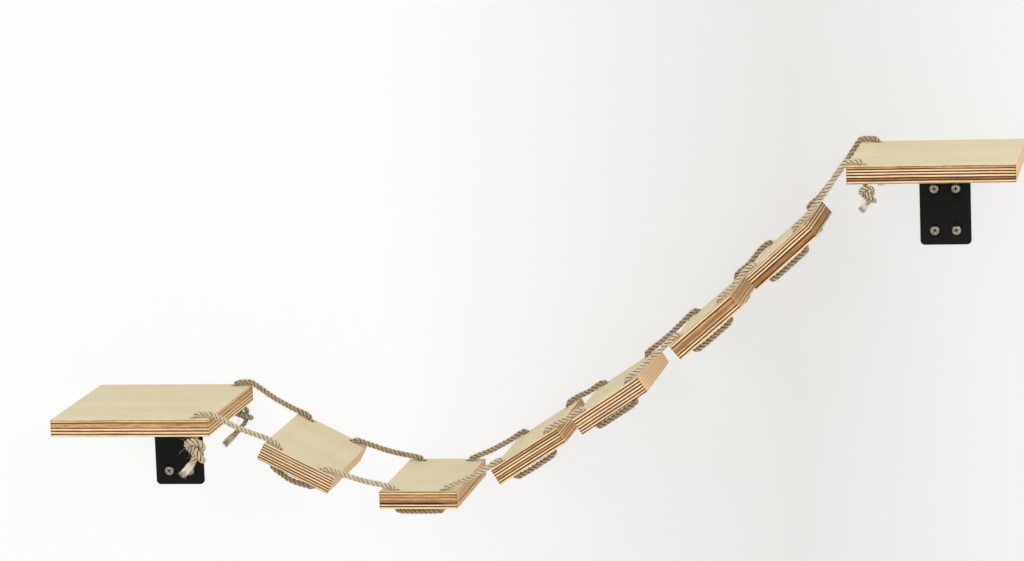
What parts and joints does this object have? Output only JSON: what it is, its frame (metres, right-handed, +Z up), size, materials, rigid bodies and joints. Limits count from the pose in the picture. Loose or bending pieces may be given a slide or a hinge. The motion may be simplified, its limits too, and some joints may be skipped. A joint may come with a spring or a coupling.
{
  "type": "cat wall bridge",
  "caption": "Wall-hung rope bridge for a cat: two plywood shelves on steel angle brackets, one above the other, with plywood planks slung between them on two jute ropes.",
  "frame": {"origin": "middle of the lower bracket's wall face, on the wall", "axes": "+X along the wall from the lower shelf to the upper one, +Y into the wall, +Z up"},
  "size_m": [0.98, 0.2377, 0.3619],
  "materials": {
    "birch_plywood": "bare sanded birch plywood, plies showing on every edge",
    "jute_rope": "three-strand natural jute, hairy",
    "black_coated_steel": "matte black powder coat",
    "zinc_screw": "yellowish zinc plate"
  },
  "bodies": {
    "root": {"lower_shelf": "birch_plywood", "lower_bracket": "black_coated_steel", "lower_wall_screw_1": "zinc_screw", "lower_wall_screw_2": "zinc_screw", "lower_wall_screw_3": "zinc_screw", "lower_wall_screw_4": "zinc_screw", "lower_shelf_screw_1": "zinc_screw", "lower_shelf_screw_2": "zinc_screw", "lower_shelf_screw_3": "zinc_screw", "lower_shelf_screw_4": "zinc_screw", "lower_front_knot": "jute_rope", "lower_back_knot": "jute_rope", "upper_shelf": "birch_plywood", "upper_bracket": "black_coated_steel", "upper_wall_screw_1": "zinc_screw", "upper_wall_screw_2": "zinc_screw", "upper_wall_screw_3": "zinc_screw", "upper_wall_screw_4": "zinc_screw", "upper_shelf_screw_1": "zinc_screw", "upper_shelf_screw_2": "zinc_screw", "upper_shelf_screw_3": "zinc_screw", "upper_shelf_screw_4": "zinc_screw", "upper_front_knot": "jute_rope", "upper_back_knot": "jute_rope"},
    "front_rope": {"front_rope_span_1": "jute_rope", "front_rope_span_2": "jute_rope", "front_rope_span_3": "jute_rope", "front_rope_span_4": "jute_rope", "front_rope_span_5": "jute_rope", "front_rope_span_6": "jute_rope", "front_rope_span_7": "jute_rope"},
    "back_rope": {"back_rope_span_1": "jute_rope", "back_rope_span_2": "jute_rope", "back_rope_span_3": "jute_rope", "back_rope_span_4": "jute_rope", "back_rope_span_5": "jute_rope", "back_rope_span_6": "jute_rope", "back_rope_span_7": "jute_rope"},
    "sling_1": {"front_rope_loop_1": "jute_rope", "back_rope_loop_1": "jute_rope"},
    "plank_1": {"plank_1": "birch_plywood"},
    "sling_2": {"front_rope_loop_2": "jute_rope", "back_rope_loop_2": "jute_rope"},
    "plank_2": {"plank_2": "birch_plywood"},
    "sling_3": {"front_rope_loop_3": "jute_rope", "back_rope_loop_3": "jute_rope"},
    "plank_3": {"plank_3": "birch_plywood"},
    "sling_4": {"front_rope_loop_4": "jute_rope", "back_rope_loop_4": "jute_rope"},
    "plank_4": {"plank_4": "birch_plywood"},
    "sling_5": {"front_rope_loop_5": "jute_rope", "back_rope_loop_5": "jute_rope"},
    "plank_5": {"plank_5": "birch_plywood"},
    "sling_6": {"front_rope_loop_6": "jute_rope", "back_rope_loop_6": "jute_rope"},
    "plank_6": {"plank_6": "birch_plywood"}
  },
  "joints": [
    {"name": "bridge_swing", "type": "hinge", "parent": "root", "child": "front_rope", "pos_m": [0.0825, -0.191, 0.06625], "axis": [-0.9343, 0, -0.3565], "range_deg": [-5, 25], "deforming": ["front_rope_span_1", "front_rope_span_2", "front_rope_span_3", "front_rope_span_4", "front_rope_span_5", "front_rope_span_6", "front_rope_span_7"]},
    {"name": "back_rope_swing", "type": "hinge", "parent": "root", "child": "back_rope", "pos_m": [0.0825, -0.009, 0.06625], "axis": [-0.9343, 0, -0.3565], "range_deg": [-6, 27], "deforming": ["back_rope_span_1", "back_rope_span_2", "back_rope_span_3", "back_rope_span_4", "back_rope_span_5", "back_rope_span_6", "back_rope_span_7"]},
    {"name": "plank_1_level", "type": "hinge", "parent": "front_rope", "child": "sling_1", "pos_m": [0.171, -0.176, 0.0168], "axis": [-0.9343, 0, -0.3565], "range_deg": [-31, 7]},
    {"name": "plank_1_rock", "type": "hinge", "parent": "sling_1", "child": "plank_1", "pos_m": [0.16691, -0.1, 0.00878], "axis": [0, 1, 0], "range_deg": [-8, 8], "stiffness_Nm_per_rad": 0.4, "deforming": ["front_rope_loop_1", "back_rope_loop_1"]},
    {"name": "plank_2_level", "type": "hinge", "parent": "front_rope", "child": "sling_2", "pos_m": [0.292, -0.176, -0.0152], "axis": [-0.9343, 0, -0.3565], "range_deg": [-31, 7]},
    {"name": "plank_2_rock", "type": "hinge", "parent": "sling_2", "child": "plank_2", "pos_m": [0.292, -0.1, -0.0242], "axis": [0, 1, 0], "range_deg": [-8, 8], "stiffness_Nm_per_rad": 0.4, "deforming": ["front_rope_loop_2", "back_rope_loop_2"]},
    {"name": "plank_3_level", "type": "hinge", "parent": "front_rope", "child": "sling_3", "pos_m": [0.401, -0.176, 0.0278], "axis": [-0.9343, 0, -0.3565], "range_deg": [-31, 7]},
    {"name": "plank_3_rock", "type": "hinge", "parent": "sling_3", "child": "plank_3", "pos_m": [0.40577, -0.1, 0.02017], "axis": [0, 1, 0], "range_deg": [-8, 8], "stiffness_Nm_per_rad": 0.4, "deforming": ["front_rope_loop_3", "back_rope_loop_3"]},
    {"name": "plank_4_level", "type": "hinge", "parent": "front_rope", "child": "sling_4", "pos_m": [0.485, -0.176, 0.0793], "axis": [-0.9343, 0, -0.3565], "range_deg": [-31, 7]},
    {"name": "plank_4_rock", "type": "hinge", "parent": "sling_4", "child": "plank_4", "pos_m": [0.4899, -0.1, 0.07175], "axis": [0, 1, 0], "range_deg": [-8, 8], "stiffness_Nm_per_rad": 0.4, "deforming": ["front_rope_loop_4", "back_rope_loop_4"]},
    {"name": "plank_5_level", "type": "hinge", "parent": "front_rope", "child": "sling_5", "pos_m": [0.582, -0.176, 0.1568], "axis": [-0.9343, 0, -0.3565], "range_deg": [-31, 7]},
    {"name": "plank_5_rock", "type": "hinge", "parent": "sling_5", "child": "plank_5", "pos_m": [0.58779, -0.1, 0.14991], "axis": [0, 1, 0], "range_deg": [-8, 8], "stiffness_Nm_per_rad": 0.4, "deforming": ["front_rope_loop_5", "back_rope_loop_5"]},
    {"name": "plank_6_level", "type": "hinge", "parent": "front_rope", "child": "sling_6", "pos_m": [0.659, -0.176, 0.2268], "axis": [-0.9343, 0, -0.3565], "range_deg": [-31, 7]},
    {"name": "plank_6_rock", "type": "hinge", "parent": "sling_6", "child": "plank_6", "pos_m": [0.6649, -0.1, 0.22001], "axis": [0, 1, 0], "range_deg": [-8, 8], "stiffness_Nm_per_rad": 0.4, "deforming": ["front_rope_loop_6", "back_rope_loop_6"]}
  ],
  "couplings": [
    {"joint": "back_rope_swing", "follows": "bridge_swing", "ratio": 1.065},
    {"joint": "plank_1_level", "follows": "bridge_swing", "ratio": -1.21},
    {"joint": "plank_2_level", "follows": "bridge_swing", "ratio": -1.21},
    {"joint": "plank_3_level", "follows": "bridge_swing", "ratio": -1.21},
    {"joint": "plank_4_level", "follows": "bridge_swing", "ratio": -1.21},
    {"joint": "plank_5_level", "follows": "bridge_swing", "ratio": -1.21},
    {"joint": "plank_6_level", "follows": "bridge_swing", "ratio": -1.21}
  ]
}
